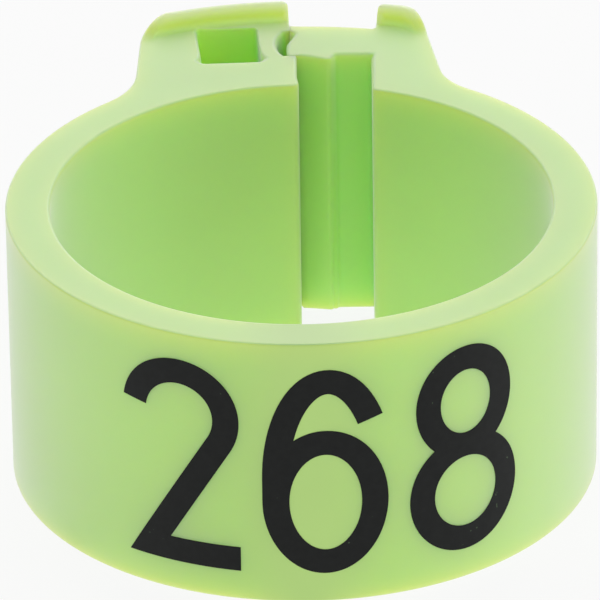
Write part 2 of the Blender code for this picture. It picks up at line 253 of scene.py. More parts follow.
OUTER = Style(0.04, 0.03, 0.02)
RIDGED = Style(0.06, 0.03, 0.02)
INNER = Style(0.06, 0.05)
CONTACT = Style(0.001, 0.012)
# The recess, the window, the strap's face and the tooth get painted bounce light through their
# last value
RECESS = Style(0.09, 0.02, 0.0, 0.0, 1.0)
RECESS_SOFT = Style(0.14, 0.05, 0.0, 0.0, 1.0)
WINDOW = Style(0.06, 0.05, 0.0, 0.0, 1.0)
WINDOW_SIDE = Style(0.03, 0.02, 0.19, 0.0, 1.0)
WINDOW_LIP = Style(0.18, 0.05, 0.0, 0.0, 1.0)
STRAP_FACE = Style(0.10, 0.05, 0.0, 0.18, 0.4)
TOOTH = Style(0.05, 0.03, 0.0, 0.09, 0.4)


# ---------------------------------------------------------------- plan geometry


def polar(radius, degrees, centre=(0.0, 0.0)):
    turn = math.radians(degrees)
    return (centre[0] + radius * math.cos(turn), centre[1] + radius * math.sin(turn))


def angle_of(point, centre=(0.0, 0.0)):
    return math.degrees(math.atan2(point[1] - centre[1], point[0] - centre[0]))


def on_circle(radius, x):
    return (x, math.sqrt(radius**2 - x**2))


def side_circle(radius, reach, point, lean):
    """Centre of a circle tangent to a block's side, at this reach from the bore's axis."""
    normal = (math.cos(math.radians(lean)), math.sin(math.radians(lean)))
    away = normal[0] * point[0] + normal[1] * point[1] + radius
    up = math.sqrt(reach**2 - away**2)
    return (away * normal[0] - up * normal[1], away * normal[1] + up * normal[0])


def corner(x, y, style, turn=0.0):
    """A corner of an outline, rounded in plan by turn."""
    return (x, y, turn, style)


def bend(radius, start, end, style, centre=(0.0, 0.0)):
    """An arc of an outline, both ends included."""
    count = max(2, math.ceil(abs(math.radians(end - start)) * radius / SPACING))
    turns = (start + (end - start) * i / count for i in range(count + 1))
    return [corner(*polar(radius, turn, centre), style) for turn in turns]


def rounded(before, point, after, radius):
    """The arc of this radius that replaces a corner."""
    here = Vector(point[:2])
    to_before = (Vector(before[:2]) - here).normalized()
    to_after = (Vector(after[:2]) - here).normalized()
    half = to_before.angle(to_after) / 2
    centre = here + (to_before + to_after).normalized() * radius / math.sin(half)
    first = here + to_before * radius / math.tan(half) - centre
    last = here + to_after * radius / math.tan(half) - centre
    sweep = math.atan2(first.cross(last), first.dot(last))
    count = max(3, math.ceil(abs(sweep) / CORNER_STEP))
    return [
        (*(centre + Matrix.Rotation(sweep * i / count, 2) @ first), point[3])
        for i in range(count + 1)
    ]


def trace(corners, closed=False):
    """An outline's points, and its finish at each."""
    points = []
    for i, point in enumerate(corners):
        if point[2] > 0.0:
            before, after = corners[i - 1], corners[(i + 1) % len(corners)]
            points += rounded(before, point, after, point[2])
        else:
            points.append((point[0], point[1], point[3]))
    if closed:
        points.append(points[0])
    rows = []
    for (x0, y0, style0), (x1, y1, style1) in zip(points, points[1:]):
        count = max(1, math.ceil(math.hypot(x1 - x0, y1 - y0) / SPACING))
        here, there = np.array([x0, y0, *style0]), np.array([x1, y1, *style1])
        rows += [here + (there - here) * i / count for i in range(count)]
    if not closed:
        rows.append(np.array([points[-1][0], points[-1][1], *points[-1][2]]))
    rows = np.array(rows)
    # Both radii and the draft change gradually; the lean and the share of painted bounce light
    # follow the corners
    finish = Style(*(eased(column, closed) for column in rows.T[2:5]), *rows.T[5:])
    return rows[:, :2], finish


def eased(values, closed, passes=2):
    """Values along an outline, with their steps spread over a few points."""
    for _ in range(passes):
        if closed:
            values = (np.roll(values, 1) + values + np.roll(values, -1)) / 3
        else:
            wide = np.concatenate([values[:1], values, values[-1:]])
            values = (wide[:-2] + wide[1:-1] + wide[2:]) / 3
    return values


def inward(points, closed):
    """At each point of an outline that runs anticlockwise, the mitre into the material."""
    steps = np.diff(np.vstack([points, points[:1]]) if closed else points, axis=0)
    steps /= np.linalg.norm(steps, axis=1)[:, None]
    normals = np.stack([-steps[:, 1], steps[:, 0]], axis=1)
    if closed:
        mitre = normals + np.roll(normals, 1, axis=0)
    else:
        mitre = np.vstack([normals[:1], normals[:-1] + normals[1:], normals[-1:]])
        # Both ends are at the front's middle, where every ring stays on the plane between halves
        mitre[[0, -1], 0] = 0.0
    mitre /= np.linalg.norm(mitre, axis=1)[:, None]
    if closed:
        lengthen = np.einsum("ij,ij->i", mitre, normals)
    else:
        lengthen = np.einsum("ij,ij->i", mitre, np.vstack([normals, normals[-1:]]))
        lengthen[[0, -1]] = 1.0
    return mitre / np.maximum(lengthen, SHARPEST_MITRE)[:, None]


# ---------------------------------------------------------------- outlines of the two halves

CATCH_FILLET_CENTRE = side_circle(
    -CATCH_FILLET, BAND_RADIUS + CATCH_FILLET, CATCH_SIDE_POINT, CATCH_SIDE_LEAN
)
CATCH_CORNER_CENTRE = side_circle(
    CORNER_RADIUS, CLASP_RADIUS - CORNER_RADIUS, CATCH_SIDE_POINT, CATCH_SIDE_LEAN
)
TONGUE_FILLET_CENTRE = side_circle(
    TONGUE_FILLET, BAND_RADIUS + TONGUE_FILLET, TONGUE_SIDE_POINT, TONGUE_SIDE_LEAN
)
TONGUE_CORNER_CENTRE = side_circle(
    -CORNER_RADIUS, CLASP_RADIUS - CORNER_RADIUS, TONGUE_SIDE_POINT, TONGUE_SIDE_LEAN
)
CATCH_TURN = angle_of(CATCH_CORNER_CENTRE)
TONGUE_TURN = angle_of(TONGUE_CORNER_CENTRE)


def catch_outline():
    """From the front's middle along the bore, round the clasp and back along the outer wall."""
    edge_room = CORNER_ROOM * GAP_EDGE_TURN
    bore_stop = REAR + math.degrees(edge_room / BORE_RADIUS)
    ledge_y = STRAP_FACE_Y - HAIRLINE
    end_top = on_circle(CLASP_RADIUS, CATCH_END_TOP_X)
    rear_start = REAR + math.degrees((edge_room - CATCH_END_TOP_X) / CLASP_RADIUS)
    fillet_start = angle_of((0.0, 0.0), CATCH_FILLET_CENTRE)
    points = bend(BORE_RADIUS, FRONT, bore_stop, INNER)
    points += [
        corner(GAP_LEFT_X, BORE_RADIUS, INNER, GAP_EDGE_TURN),
        corner(*NOSE, INNER),
        corner(NOSE[0], ledge_y - NOSE_CUT[1], INNER),
        corner(NOSE[0] - NOSE_CUT[0], ledge_y, CONTACT),
        corner(NOSE[0] - CONTACT_START, ledge_y, CONTACT),
    ]
    points += bend(RECESS_RADIUS, RECESS_FRONT, RECESS_REAR, RECESS, RECESS_CENTRE)
    points += [
        corner(CATCH_END_X, RECESS_STOP_Y, CONTACT),
        corner(CATCH_END_X, STRAP_REAR_RADIUS - CONTACT_START, CONTACT),
        corner(CATCH_END_X, STRAP_REAR_RADIUS, OUTER),
        corner(*end_top, RIDGED, GAP_EDGE_TURN),
    ]
    points += bend(CLASP_RADIUS, rear_start, CATCH_TURN, RIDGED)
    side_turn = LEFT + CATCH_SIDE_LEAN
    points += bend(CORNER_RADIUS, CATCH_TURN, side_turn, OUTER, CATCH_CORNER_CENTRE)[1:]
    points += bend(CATCH_FILLET, CATCH_SIDE_LEAN, fillet_start, OUTER, CATCH_FILLET_CENTRE)
    return points + bend(BAND_RADIUS, angle_of(CATCH_FILLET_CENTRE), FRONT, OUTER)[1:]


def tongue_outline():
    """From the front's middle along the outer wall, round the clasp and back along the bore."""
    fillet_start = WHOLE_TURN + angle_of((0.0, 0.0), TONGUE_FILLET_CENTRE)
    edge_room = CORNER_ROOM * GAP_EDGE_TURN
    lobe_stop = LOBE_ANGLE - math.degrees(edge_room / CLASP_RADIUS)
    near_block, near_hook = STRAP_REAR_INSET
    strap_start = angle_of(on_circle(STRAP_REAR_RADIUS, GAP_RIGHT_X + near_block))
    strap_end = angle_of(on_circle(STRAP_REAR_RADIUS, CATCH_END_X + near_hook))
    hook = on_circle(STRAP_REAR_RADIUS, CATCH_END_X + HAIRLINE)
    bore_start = angle_of(on_circle(BORE_RADIUS, GAP_RIGHT_X))
    bore_start -= math.degrees(edge_room / BORE_RADIUS)
    block_start = WHOLE_TURN + angle_of(TONGUE_FILLET_CENTRE)
    points = bend(BAND_RADIUS, FRONT, block_start, OUTER)
    side_turn = LEFT + TONGUE_SIDE_LEAN
    points += bend(TONGUE_FILLET, fillet_start, side_turn, OUTER, TONGUE_FILLET_CENTRE)[1:]
    points += bend(
        CORNER_RADIUS, TONGUE_SIDE_LEAN, TONGUE_TURN, OUTER, TONGUE_CORNER_CENTRE
    )
    points += bend(CLASP_RADIUS, TONGUE_TURN, lobe_stop, RIDGED)[1:]
    points += [
        corner(*polar(CLASP_RADIUS, LOBE_ANGLE), RIDGED, GAP_EDGE_TURN),
        corner(*LOBE_FOOT, OUTER),
    ]
    points += bend(STRAP_REAR_RADIUS, strap_start, strap_end, OUTER)
    points += [
        corner(*hook, CONTACT),
        corner(CATCH_END_X + HAIRLINE, RECESS_STOP_Y, CONTACT),
        corner(*STRAP_CHAMFER[0], RECESS_SOFT),
        corner(*STRAP_CHAMFER[1], RECESS, STRAP_CHAMFER_TURN),
        corner(STRAP_TIP_X, STRAP_FACE_Y + STRAP_TIP_CUT[1], RECESS),
        corner(STRAP_TIP_X + STRAP_TIP_CUT[0], STRAP_FACE_Y, CONTACT),
        corner(NOSE[0], STRAP_FACE_Y, CONTACT),
        corner(TOOTH_START_X, STRAP_FACE_Y, STRAP_FACE),
        corner(*TOOTH_TIP, TOOTH, TOOTH_TIP_TURN),
        corner(tooth_high.x, STRAP_FACE_Y, STRAP_FACE, TOOTH_FOOT_TURN),
        corner(GAP_RIGHT_X, STRAP_FACE_Y, STRAP_FACE),
        corner(*on_circle(BORE_RADIUS, GAP_RIGHT_X), INNER, GAP_EDGE_TURN),
    ]
    return points + bend(BORE_RADIUS, bore_start, FRONT - WHOLE_TURN, INNER)


def window_outline():
    """The window, clockwise because the material is outside it: four corners and two points
    on its sides, where the finish changes."""
    turn = Matrix.Rotation(math.radians(WINDOW_TURN), 2)
    rear_left, rear_right, rear = WINDOW_REAR
    front_left, front_right, front = WINDOW_FRONT
    near = front + CORNER_ROOM * WINDOW_CORNER
    places = [
        (rear_right, rear, WINDOW_SIDE, WINDOW_CORNER),
        (front_right, near, WINDOW_SIDE, 0.0),
        (front_right, front, WINDOW_LIP, WINDOW_CORNER),
        (front_left, front, WINDOW_LIP, WINDOW_CORNER),
        (front_left, near, WINDOW, 0.0),
        (rear_left, rear, WINDOW, WINDOW_CORNER),
    ]
    return [
        corner(*(Vector(WINDOW_CENTRE) + turn @ Vector((across, back))), style, rounding)
        for across, back, style, rounding in places
    ]


# ---------------------------------------------------------------- top surface


def smooth_step(value):
    share = np.clip(value, 0.0, 1.0)
    return share * share * (3.0 - 2.0 * share)


RIDGE_STEEPEST = RIDGE_START + RIDGE_ROUND * math.sin(RIDGE_SLOPE)
RIDGE_END = RIDGE_STEEPEST + RIDGE_FILLET * math.sin(RIDGE_SLOPE)


def ridge_share(distance):
    """How much of the ridge's height there is at this distance from the clasp's rear edge."""
    from_start = np.clip(distance, RIDGE_START, RIDGE_STEEPEST) - RIDGE_START
    to_end = RIDGE_END - np.clip(distance, RIDGE_STEEPEST, RIDGE_END)
    drop = RIDGE_ROUND - np.sqrt(RIDGE_ROUND**2 - from_start**2)
    rise = RIDGE_FILLET - np.sqrt(RIDGE_FILLET**2 - to_end**2)
    whole = (RIDGE_ROUND + RIDGE_FILLET) * (1.0 - math.cos(RIDGE_SLOPE))
    return np.where(distance < RIDGE_STEEPEST, 1.0 - drop / whole, rise / whole)


def catch_ridge(points):
    """The catch ridge's height over these points: along the rear edge and round the corner."""
    x, y = points[:, 0], points[:, 1]
    about = np.degrees(np.arctan2(y - CATCH_CORNER_CENTRE[1], x - CATCH_CORNER_CENTRE[0]))
    to_rear = CLASP_RADIUS - np.hypot(x, y)
    to_corner = CORNER_RADIUS - np.hypot(
        x - CATCH_CORNER_CENTRE[0], y - CATCH_CORNER_CENTRE[1]
    )
    at_corner = (about > CATCH_TURN) | (about < -REAR)
    first, sweep = CATCH_FADE
    fade = 1.0 - smooth_step((about - first) / sweep)
    fade = np.where(about < 0.0, 0.0, fade)
    distance = np.where(at_corner, to_corner, to_rear)
    on_block = y > CATCH_CORNER_CENTRE[1]
    return RIDGE_HEIGHT * ridge_share(distance) * np.where(at_corner, fade, 1.0) * on_block


def tongue_ridge(points):
    """The tongue ridge's height over these points, in the same way."""
    x, y = points[:, 0], points[:, 1]
    about = np.degrees(np.arctan2(y - TONGUE_CORNER_CENTRE[1], x - TONGUE_CORNER_CENTRE[0]))
    to_rear = CLASP_RADIUS - np.hypot(x, y)
    to_corner = CORNER_RADIUS - np.hypot(
        x - TONGUE_CORNER_CENTRE[0], y - TONGUE_CORNER_CENTRE[1]
    )
    at_corner = np.abs(about) < TONGUE_TURN
    first, sweep = TONGUE_FADE
    fade = smooth_step((about - first) / sweep)
    distance = np.where(at_corner, to_corner, to_rear)
    on_block = (about > 0.0) & (x > TONGUE_RIDGE_X)
    return RIDGE_HEIGHT * ridge_share(distance) * np.where(at_corner, fade, 1.0) * on_block


def ridge_rows(start, turn, corner_centre, corner_end):
    """Rows of points along a ridge's slope: each row is at one distance from the rear edge."""
    rows = []
    slopes = np.sin(np.linspace(0.0, RIDGE_SLOPE, RIDGE_STEPS + 1))
    distances = np.concatenate(
        [RIDGE_START + RIDGE_ROUND * slopes[1:], RIDGE_END - RIDGE_FILLET * slopes[:-1][::-1]]
    )
    for distance in distances:
        radius = CLASP_RADIUS - distance
        row = [point[:2] for point in bend(radius, start, turn, OUTER)]
        small = CORNER_RADIUS - distance
        row += [point[:2] for point in bend(small, turn, corner_end, OUTER, corner_centre)[1:]]
        rows.append(np.array(row))
    return rows


# ---------------------------------------------------------------- meshes


def inside(points, loops):
    """Whether each point lies in the region that the loops bound, by the even-odd rule."""
    found = np.zeros(len(points), bool)
    x, y = points[:, 0], points[:, 1]
    for loop in loops:
        x0, y0 = loop[:, 0][:, None], loop[:, 1][:, None]
        x1, y1 = np.roll(x0, -1, axis=0), np.roll(y0, -1, axis=0)
        spans = (y0 > y) != (y1 > y)
        with np.errstate(divide="ignore", invalid="ignore"):
            crossing = x0 + (y - y0) * (x1 - x0) / (y1 - y0)
        found ^= (np.sum(spans & (x < crossing), axis=0) % 2).astype(bool)
    return found


def clear_of(points, loops, room):
    """Whether each point is at least this far from every point of the loops."""
    every = np.vstack(loops)
    gaps = np.hypot(points[:, None, 0] - every[:, 0], points[:, None, 1] - every[:, 1])
    return gaps.min(axis=1) > room


def triangles_in(places, edges, region):
    """Triangles through the places and edges, facing up: their points, the points' sources, and
    the triangles. region tells which points are in the filled area."""
    result = delaunay_2d_cdt(
        [Vector(place) for place in places], edges, [], ALL_TRIANGLES, SAME_PLACE, True
    )
    out = np.array([tuple(point) for point in result[0]])
    triangles = np.array([tuple(face) for face in result[2]])
    triangles = triangles[region(out[triangles].mean(axis=1))]
    a, b, c = (out[triangles[:, i]] for i in range(3))
    turn = (b - a)[:, 0] * (c - a)[:, 1] - (b - a)[:, 1] * (c - a)[:, 0]
    triangles[turn < 0] = triangles[turn < 0][:, ::-1]
    return out, result[3], triangles


def around(loops):
    """The loops' points in one list, and the edges round each loop."""
    places, edges = [], []
    for loop in loops:
        first = len(places)
        places += [tuple(point) for point in loop]
        edges += [(first + i, first + (i + 1) % len(loop)) for i in range(len(loop))]
    return places, edges


def fill(loops, rows):
    """Triangles between the loops, with edges along the rows. The loops' own points come first."""
    places, edges = around(loops)
    for row in rows:
        keep = inside(row, loops) & clear_of(row, loops, ROW_ROOM)
        previous = None
        for point, kept in zip(row, keep):
            if kept:
                places.append(tuple(point))
                if previous is not None:
                    edges.append((previous, len(places) - 1))
            previous = len(places) - 1 if kept else None
    return triangles_in(places, edges, lambda points: inside(points, loops))


def wall_rings(points, finish, closed, top_of):
    """Rings of a wall from the lower face's rim to the upper face's rim, as an array of places."""
    into = inward(points, closed)
    edge, foot = finish.edge, finish.foot
    spread = into * finish.draft[:, None]
    spread[:, 1] -= finish.lean
    quarter = np.radians(np.linspace(0.0, 90.0, ROUND_STEPS + 1))
    bottom_rings = [(foot + SUPPORT, 0.0 * foot)]
    bottom_rings += [(foot * (1 - math.sin(a)), foot * (1 - math.cos(a))) for a in quarter]
    rings = []
    for offset, z in bottom_rings:
        place = points + into * offset[:, None] + spread * (1 - z / HEIGHT)[:, None]
        rings.append(np.column_stack([place, z]))
    straight_top = top_of(points) - edge
    for share in WALL_LEVELS[1:-1]:
        z = foot + share * (straight_top - foot)
        place = points + spread * np.clip(1 - z / HEIGHT, 0, 1)[:, None]
        rings.append(np.column_stack([place, z]))
    top_rings = [(edge * (1 - math.cos(a)), edge * (1 - math.sin(a))) for a in quarter]
    top_rings += [(edge + SUPPORT, 0.0 * edge)]
    for offset, drop in top_rings:
        place = points + into * offset[:, None]
        rings.append(np.column_stack([place, top_of(place) - drop]))
    return np.array(rings)


def add_walls(places, faces, rings, closed):
    """Adds the rings' points and the quads between them; returns the rings' point numbers."""
    count = rings.shape[1]
    numbers = np.arange(rings.shape[0] * count).reshape(rings.shape[:2]) + len(places)
    places += [tuple(place) for ring in rings for place in ring]
    last = count if closed else count - 1
    for low, high in zip(numbers, numbers[1:]):
        for i in range(last):
            j = (i + 1) % count
            faces.append((low[i], low[j], high[j], high[i]))
    return numbers


def add_cap(places, faces, numbers, rows, top_of, upward):
    """Adds a face's triangles between its rims, whose point numbers are given."""
    rims = [np.array([places[n][:2] for n in rim]) for rim in numbers]
    flat, sources, triangles = fill(rims, rows)
    rim_numbers = np.concatenate(numbers)
    lookup = []
    heights = top_of(flat)
    for place, source, height in zip(flat, sources, heights):
        own = [s for s in source if s < len(rim_numbers)]
        if own:
            lookup.append(rim_numbers[own[0]])
        else:
            lookup.append(len(places))
            places.append((place[0], place[1], height))
    for a, b, c in triangles:
        face = (lookup[a], lookup[b], lookup[c])
        faces.append(face if upward else face[::-1])


def solid(name, places, faces):
    """A smooth mesh object, from millimetres in the ring's frame to metres in the row's."""
    mesh = bpy.data.meshes.new(name)
    shifted = [Vector(place) * MM + AXIS for place in places]
    mesh.from_pydata(shifted, [], [tuple(int(n) for n in face) for face in faces])
    mesh.validate()
    mesh.shade_smooth()
    piece = bpy.data.objects.new(name, mesh)
    bpy.context.scene.collection.objects.link(piece)
    return piece


def away_from_seam(piece):
    """How far each point is from the front's middle, as a share of the fade's length."""
    return [
        1.0 if v.co.y > AXIS.y else min(1.0, abs(v.co.x) / (SEAM_FADE * MM))
        for v in piece.data.vertices
    ]


def store(piece, name, values):
    layer = piece.data.attributes.new(name, "FLOAT", "POINT")
    layer.data.foreach_set("value", values)


def even_seam(piece):
    """Keeps the shading unbroken across the plane where the two halves meet."""
    mesh = piece.data
    on_seam = np.array([abs(v.co.x) < ON_SEAM and v.co.y < AXIS.y for v in mesh.vertices])
    for edge in mesh.edges:
        edge.use_edge_sharp = bool(on_seam[edge.vertices[0]] and on_seam[edge.vertices[1]])
    normals = [Vector(normal.vector) for normal in mesh.corner_normals]
    for face in mesh.polygons:
        if all(on_seam[v] for v in face.vertices):
            continue
        for corner_index in face.loop_indices:
            if on_seam[mesh.loops[corner_index].vertex_index]:
                normals[corner_index].x = 0.0
                normals[corner_index].normalize()
    mesh.normals_split_custom_set([tuple(normal) for normal in normals])


def painted_highlight_at(heights):
    """How much painted highlight the upper surface gets at these heights: painted light over the
    shade at a ridge's foot, and a painted highlight towards its top.
    """
    above = heights - HEIGHT
    rise = np.clip(above / FOOT_PAINTED_LIGHT_RISE, 0.0, 1.0)
    foot = FOOT_PAINTED_LIGHT * rise * np.clip(1.0 - above / FOOT_PAINTED_LIGHT_HEIGHT, 0.0, 1.0)
    top = (above - TOP_PAINTED_HIGHLIGHT_START) / (RIDGE_HEIGHT - TOP_PAINTED_HIGHLIGHT_START)
    return foot + np.clip(top, 0.0, 1.0)


def wall_painted_light(rings, finish, top_of):
    """At each point of a wall: its shares of painted bounce light, of painted lime glowing under
    the upper edge and of the painted highlight.
    """
    number = np.arange(len(rings))[:, None]
    below_rim = number < len(rings) - RIM_RINGS
    on_edge = ~below_rim & (number < len(rings) - FLAT_RINGS)
    height = rings[:, :, 2]
    depth = np.array([top_of(ring[:, :2]) for ring in rings]) - height
    # The rounded upper edge gets a painted highlight, or the ridge's painted highlight where that
    # is higher
    painted_pale = np.maximum(painted_highlight_at(height), np.where(on_edge, RIM_PAINTED_HIGHLIGHT, 0.0))
    return {
        "painted_bounce": below_rim * finish.pocket,
        "painted_glow": below_rim * np.clip(1.0 - depth / PAINTED_GLOW_DEPTH, 0.0, 1.0),
        "painted_highlight": np.where(below_rim, 0.0, painted_pale),
    }


def moulded_half(name, outline, holes, ridge, rows):
    """One half of the moulding, closed at the front's middle by a flat face."""

    def top_of(points):
        return HEIGHT + ridge(points)

    def bottom_of(points):
        return np.zeros(len(points))

    places, faces, walls = [], [], []
    # Painted light kept on the mesh: bounce light in the recesses, lime glowing under the upper
    # edges, highlights on rims and ridges
    painted_lights = {"painted_bounce": [], "painted_glow": [], "painted_highlight": []}
    for loop, closed in [(outline, False)] + [(hole, True) for hole in holes]:
        points, finish = trace(loop, closed)
        rings = wall_rings(points, finish, closed, top_of)
        walls.append(add_walls(places, faces, rings, closed))
        for painted_light_name, values in wall_painted_light(rings, finish, top_of).items():
            painted_lights[painted_light_name] += list(values.ravel())
    add_cap(places, faces, [rings[-1] for rings in walls], rows, top_of, True)
    add_cap(places, faces, [rings[0] for rings in walls], (), bottom_of, False)
    faces.append(tuple(walls[0][:, 0]) + tuple(walls[0][:, -1][::-1]))
    cap_heights = np.array([place[2] for place in places[len(painted_lights["painted_highlight"]):]])
    # The caps get painted highlights on the ridges only
    painted_lights["painted_bounce"] += [0.0] * len(cap_heights)
    painted_lights["painted_glow"] += [0.0] * len(cap_heights)
    painted_lights["painted_highlight"] += list(painted_highlight_at(cap_heights))
    piece = solid(name, places, faces)
    store(piece, "away_from_seam", away_from_seam(piece))
    for painted_light_name, values in painted_lights.items():
        store(piece, painted_light_name, values)
    even_seam(piece)
    return piece


# ---------------------------------------------------------------- digits


def stroke_outline(path, closed=False):
    """Outlines of a line of constant width drawn along path: one if open, two if closed."""
    sides = ([], [])
    last = len(path) - 1
    for i, point in enumerate(path):
        before = path[i - 1] if closed or i else point
        after = path[(i + 1) % len(path)] if closed or i < last else point
        into = unit(before, point) or unit(point, after)
        out = unit(point, after) or into
        normal = unit((0.0, 0.0), (-into[1] - out[1], into[0] + out[0]))
        reach = STROKE / 2 / (normal[0] * -into[1] + normal[1] * into[0])
        for side, sign in zip(sides, (1, -1)):
            side.append((point[0] + sign * reach * normal[0], point[1] + sign * reach * normal[1]))
    if closed:
        return [np.array(sides[0]), np.array(sides[1])]
    return [np.array(sides[0] + sides[1][::-1])]


def short_edged(loop):
    """A closed outline with its long edges divided, so that it follows the wall's curve."""
    points = []
    for start, end in zip(loop, np.roll(loop, -1, axis=0)):
        count = max(1, math.ceil(math.dist(start, end) / SPACING))
        points += [start + (end - start) * i / count for i in range(count)]
    return np.array(points)


def unit(start, end):
    """The direction from start to end, or nothing where they are the same point."""
    length = math.dist(start, end)
    return ((end[0] - start[0]) / length, (end[1] - start[1]) / length) if length else None


def ellipse(centre, half_width, half_height, start=0.0, end=WHOLE_TURN):
    """Points along an ellipse: a whole one leaves out its end, which is its start."""
    count = max(2, math.ceil(abs(end - start) / TURN_STEP))
    whole = end - start == WHOLE_TURN
    turns = [math.radians(start + (end - start) * i / count) for i in range(count + 1 - whole)]
    return [
        (centre[0] + half_width * math.cos(t), centre[1] + half_height * math.sin(t))
        for t in turns
    ]


def straight(start, end):
    """Points from start up to but not including end, close enough to wrap round the band."""
    count = max(1, math.ceil(math.dist(start, end) / PRINT_STEP))
    shares = (i / count for i in range(count))
    return [
        (start[0] + (end[0] - start[0]) * s, start[1] + (end[1] - start[1]) * s) for s in shares
    ]


def digit_two():
    path = ellipse((0.0, TOP - HALF_WIDTH), HALF_WIDTH, HALF_WIDTH, *TWO_BOWL)
    foot = (TWO_FOOT_X, BOTTOM)
    end = (HALF_WIDTH + STROKE / 2, BOTTOM)
    path += straight(path[-1], foot)[1:] + straight(foot, end) + [end]
    return [stroke_outline(path)]


def digit_six():
    middle = BOTTOM + SIX_LOOP
    loop = ellipse((0.0, middle), HALF_WIDTH, SIX_LOOP)
    tail_x, tail_y = SIX_TAIL_CENTRE
    tail = [(-HALF_WIDTH, middle), (-HALF_WIDTH, (middle + tail_y) / 2)]
    tail += ellipse(SIX_TAIL_CENTRE, HALF_WIDTH + tail_x, TOP - tail_y, LEFT, SIX_TAIL_END)
    return [stroke_outline(loop, closed=True), stroke_outline(tail)]


def digit_eight():
    low = (EIGHT_WAIST - BOTTOM) / 2
    high = (TOP - EIGHT_WAIST) / 2
    lower = ellipse((0.0, BOTTOM + low), HALF_WIDTH, low)
    upper = ellipse((0.0, TOP - high), EIGHT_TOP_SHARE * HALF_WIDTH, high)
    return [stroke_outline(lower, closed=True), stroke_outline(upper, closed=True)]


def wrapped(flat, proud, degrees):
    """Points of the flat print laid round the drafted wall, this far proud of it."""
    z = DIGIT_BASE + flat[:, 1]
    turn = np.radians(FRONT + degrees) + flat[:, 0] / BAND_RADIUS
    radius = BAND_RADIUS - OUTER.draft * (1 - z / HEIGHT) + proud
    return np.column_stack([radius * np.cos(turn), radius * np.sin(turn), z])


def printed(name, strokes, degrees):
    """A digit as a thin layer of ink: its strokes' union, filled and wrapped."""

    def in_any_stroke(points):
        return np.any([inside(points, stroke) for stroke in strokes], axis=0)

    low = np.min([loop.min(axis=0) for stroke in strokes for loop in stroke], axis=0)
    high = np.max([loop.max(axis=0) for stroke in strokes for loop in stroke], axis=0)
    strokes = [[short_edged(loop) for loop in stroke] for stroke in strokes]
    loops = [loop for stroke in strokes for loop in stroke]
    places, edges = around(loops)
    first = PRINT_SPACING / 2
    for x in np.arange(low[0] + first, high[0], PRINT_SPACING):
        column = np.array([(x, y) for y in np.arange(low[1] + first, high[1], PRINT_SPACING)])
        column = column[in_any_stroke(column)]
        if len(column):
            places += [tuple(point) for point in column[clear_of(column, loops, PRINT_ROOM)]]
    flat, _, triangles = triangles_in(places, edges, in_any_stroke)
    count = len(flat)
    front = wrapped(flat, INK_PROUD, degrees)
    back = wrapped(flat, -INK_SUNK, degrees)
    places = [tuple(point) for point in np.vstack([front, back])]
    faces = [tuple(t) for t in triangles] + [tuple(t[::-1] + count) for t in triangles]
    sides = {(t[i], t[(i + 1) % 3]) for t in triangles for i in range(3)}
    for a, b in sides:
        if (b, a) not in sides:
            faces.append((b, a, a + count, b + count))
    used = sorted({n for face in faces for n in face})
    number = {old: new for new, old in enumerate(used)}
    places = [places[n] for n in used]
    piece = solid(name, places, [tuple(number[n] for n in face) for face in faces])
    piece.data.set_sharp_from_angle(angle=INK_CREASE)
    return piece


# ---------------------------------------------------------------- materials

# Colours and surfaces. The translucency and the painted lime's share are the most that any point
# gets.
GREEN = (0.482, 0.775, 0.16)
# Painted light: lime glowing through the upper edges of the walls
PAINTED_GLOW_LIME = (0.57, 0.81, 0.15)
# Painted highlight on rims and ridge tops, also painted light over the ridges' feet
PAINTED_HIGHLIGHT_PALE = (0.55, 0.88, 0.46)
# Painted bounce light: a brighter green inside the recesses
PAINTED_BOUNCE_GREEN = (0.455, 0.93, 0.16)
INK = (0.006, 0.007, 0.0065)
PINHOLE = (0.05, 0.08, 0.04)
TRANSLUCENCY = 0.8
SCATTER_RADII = (1.0, 0.9, 0.3)
SCATTER_SCALE = 0.0013
PLASTIC_IOR = 1.55
SHEEN = 0.9
SHEEN_ROUGHNESS = 0.6
INK_SPECULAR = 0.2
PAINTED_GLOW_SHARE = 0.65
WHITE = (1.0, 1.0, 1.0, 1.0)

# Noise textures, over places in metres: scale and detail
CLOUDS = (260.0, 3.0)
PLASTIC_GRAIN = (900.0, 4.0)
PLASTIC_SKIN = (5200.0, 2.0)
INK_GRAIN = (7000.0, 3.0)
INK_WEAR = (2500.0, 3.0)
FLOOR_TONE = (30.0, 2.0)

# Ranges of roughness, strengths of bumps, and how high the bumps are in metres
PLASTIC_ROUGHNESS = (0.36, 0.46)
INK_ROUGHNESS = (0.42, 0.6)
PLASTIC_BUMP = 0.12
INK_BUMP = 0.15
BUMP_HEIGHT = 0.000004

# Tones over a noise texture: places on the ramp, and factors of a colour or greys
PLASTIC_TONES = ((0.3, 0.97), (0.7, 1.02))
INK_TONES = ((0.35, 0.85), (0.68, 1.25))
INK_EDGE = 0.715
PINHOLE_EDGE = 0.74
FLOOR_TONES = ((0.3, 0.10), (0.7, 0.11))

# The floor's glow and its surface
FLOOR_GLOW = 0.875
FLOOR_ROUGHNESS = 0.9
FLOOR_SPECULAR = 0.1


def new_material(name):
    material = bpy.data.materials.new(name)
    material.use_nodes = True
    tree = material.node_tree
    return material, tree, tree.nodes["Principled BSDF"]


def noise_node(tree, coordinates, texture):
    scale, detail = texture
    node = tree.nodes.new("ShaderNodeTexNoise")
    node.inputs["Scale"].default_value = scale
    node.inputs["Detail"].default_value = detail
    tree.links.new(coordinates, node.inputs["Vector"])
    return node.outputs["Fac"]


